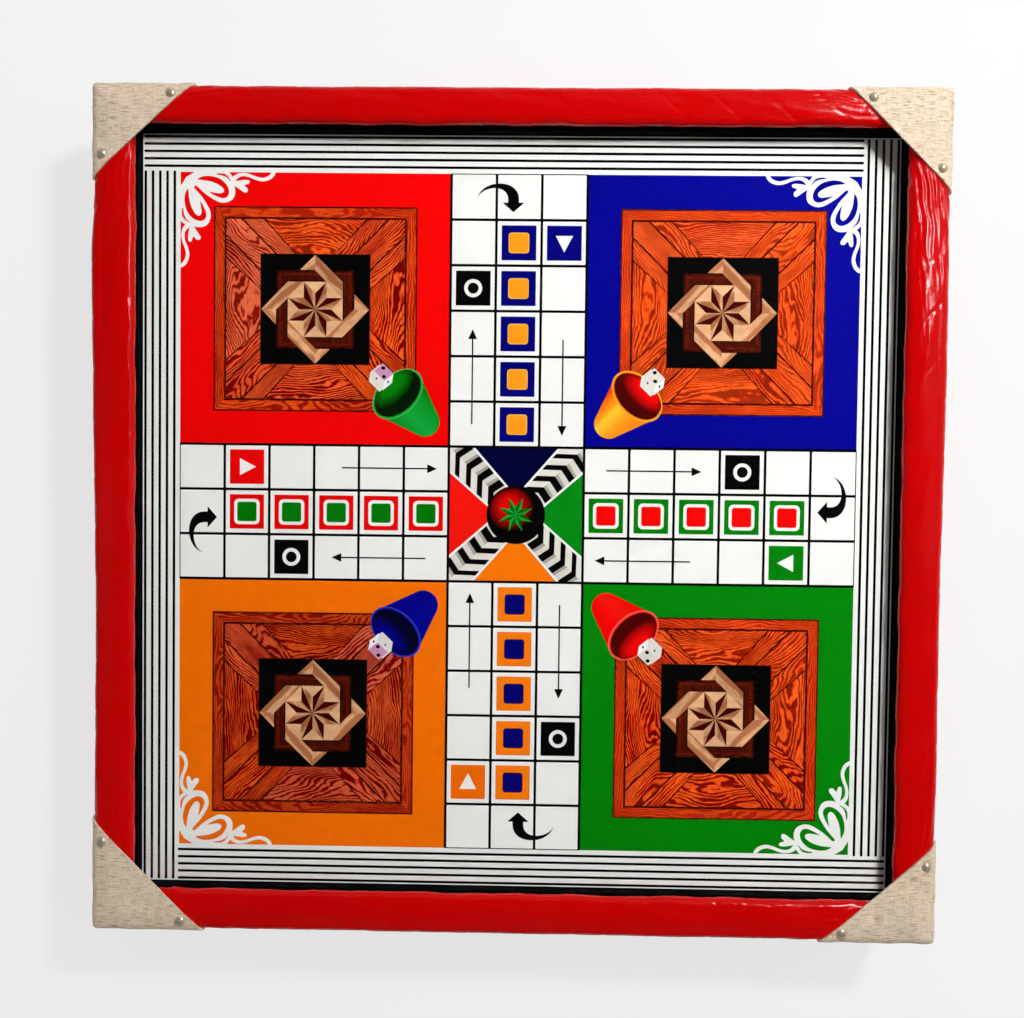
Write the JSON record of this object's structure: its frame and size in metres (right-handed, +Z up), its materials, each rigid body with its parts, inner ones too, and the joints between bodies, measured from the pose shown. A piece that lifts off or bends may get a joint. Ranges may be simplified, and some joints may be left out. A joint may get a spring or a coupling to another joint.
{
  "type": "folding ludo board box",
  "caption": "Square hinged game box whose lid is a ludo board under glass, in a padded red rim with tacked corner patches.",
  "frame": {"origin": "middle of the box on the plane under its feet", "axes": "+X to the right along the front, +Y to the hinged back, +Z up"},
  "size_m": [0.6124, 0.625, 0.0934],
  "materials": {
    "plywood": "sanded",
    "pine": "planed",
    "red_vinyl": "glossy",
    "foam": "matte",
    "black_bead": "satin",
    "linen_leathercloth": "grained",
    "nickel": "polished",
    "hinge_steel": "satin",
    "screw_steel": "satin",
    "black_rubber": "matte",
    "print_paper": "gloss",
    "ink_black": "gloss",
    "ink_red": "gloss",
    "ink_blue": "gloss",
    "ink_green": "gloss",
    "ink_orange": "gloss",
    "ink_oak": "gloss",
    "ink_tan": "gloss",
    "clear_glass": "polished"
  },
  "bodies": {
    "tray": {"tray_floor": "plywood", "tray_wall_front": "pine", "tray_wall_right": "pine", "tray_wall_back": "pine", "tray_wall_left": "pine", "tray_cover": "red_vinyl", "slat_across": "plywood", "slat_along": "plywood", "feet": "black_rubber", "foot_screws": "screw_steel", "hinge_left_tray_leaf": "hinge_steel", "hinge_right_tray_leaf": "hinge_steel", "hinge_left_pin": "hinge_steel", "hinge_right_pin": "hinge_steel", "latch_left_stud": "nickel", "latch_right_stud": "nickel", "tray_screws": "screw_steel"},
    "lid": {"lid_rail_front": "pine", "lid_rail_right": "pine", "lid_rail_back": "pine", "lid_rail_left": "pine", "foam_front": "foam", "foam_right": "foam", "foam_back": "foam", "foam_left": "foam", "rim_cover_front": "red_vinyl", "rim_cover_right": "red_vinyl", "rim_cover_back": "red_vinyl", "rim_cover_left": "red_vinyl", "bead_front": "black_bead", "bead_right": "black_bead", "bead_back": "black_bead", "bead_left": "black_bead", "playing_panel": "plywood", "print_sheet": "print_paper", "print_black": "ink_black", "print_red": "ink_red", "print_blue": "ink_blue", "print_green": "ink_green", "print_orange": "ink_orange", "print_oak": "ink_oak", "print_tan": "ink_tan", "glass_pane": "clear_glass", "patch_front_left": "linen_leathercloth", "patch_front_right": "linen_leathercloth", "patch_back_right": "linen_leathercloth", "patch_back_left": "linen_leathercloth", "corner_tacks": "nickel", "hinge_left_lid_leaf": "hinge_steel", "hinge_right_lid_leaf": "hinge_steel", "latch_left_pivot": "nickel", "latch_right_pivot": "nickel", "lid_screws": "screw_steel"},
    "hook_left": {"hook_left": "nickel"},
    "hook_right": {"hook_right": "nickel"}
  },
  "joints": [
    {"name": "lid_hinge", "type": "hinge", "parent": "tray", "child": "lid", "pos_m": [0, 0.3089, 0.0462], "axis": [-1, 0, 0], "range_deg": [0, 180]},
    {"name": "hook_left_swing", "type": "hinge", "parent": "lid", "child": "hook_left", "pos_m": [-0.16, -0.305, 0.0632], "axis": [0, -1, 0], "range_deg": [0, 90]},
    {"name": "hook_right_swing", "type": "hinge", "parent": "lid", "child": "hook_right", "pos_m": [0.16, -0.305, 0.0632], "axis": [0, 1, 0], "range_deg": [0, 90]}
  ]
}
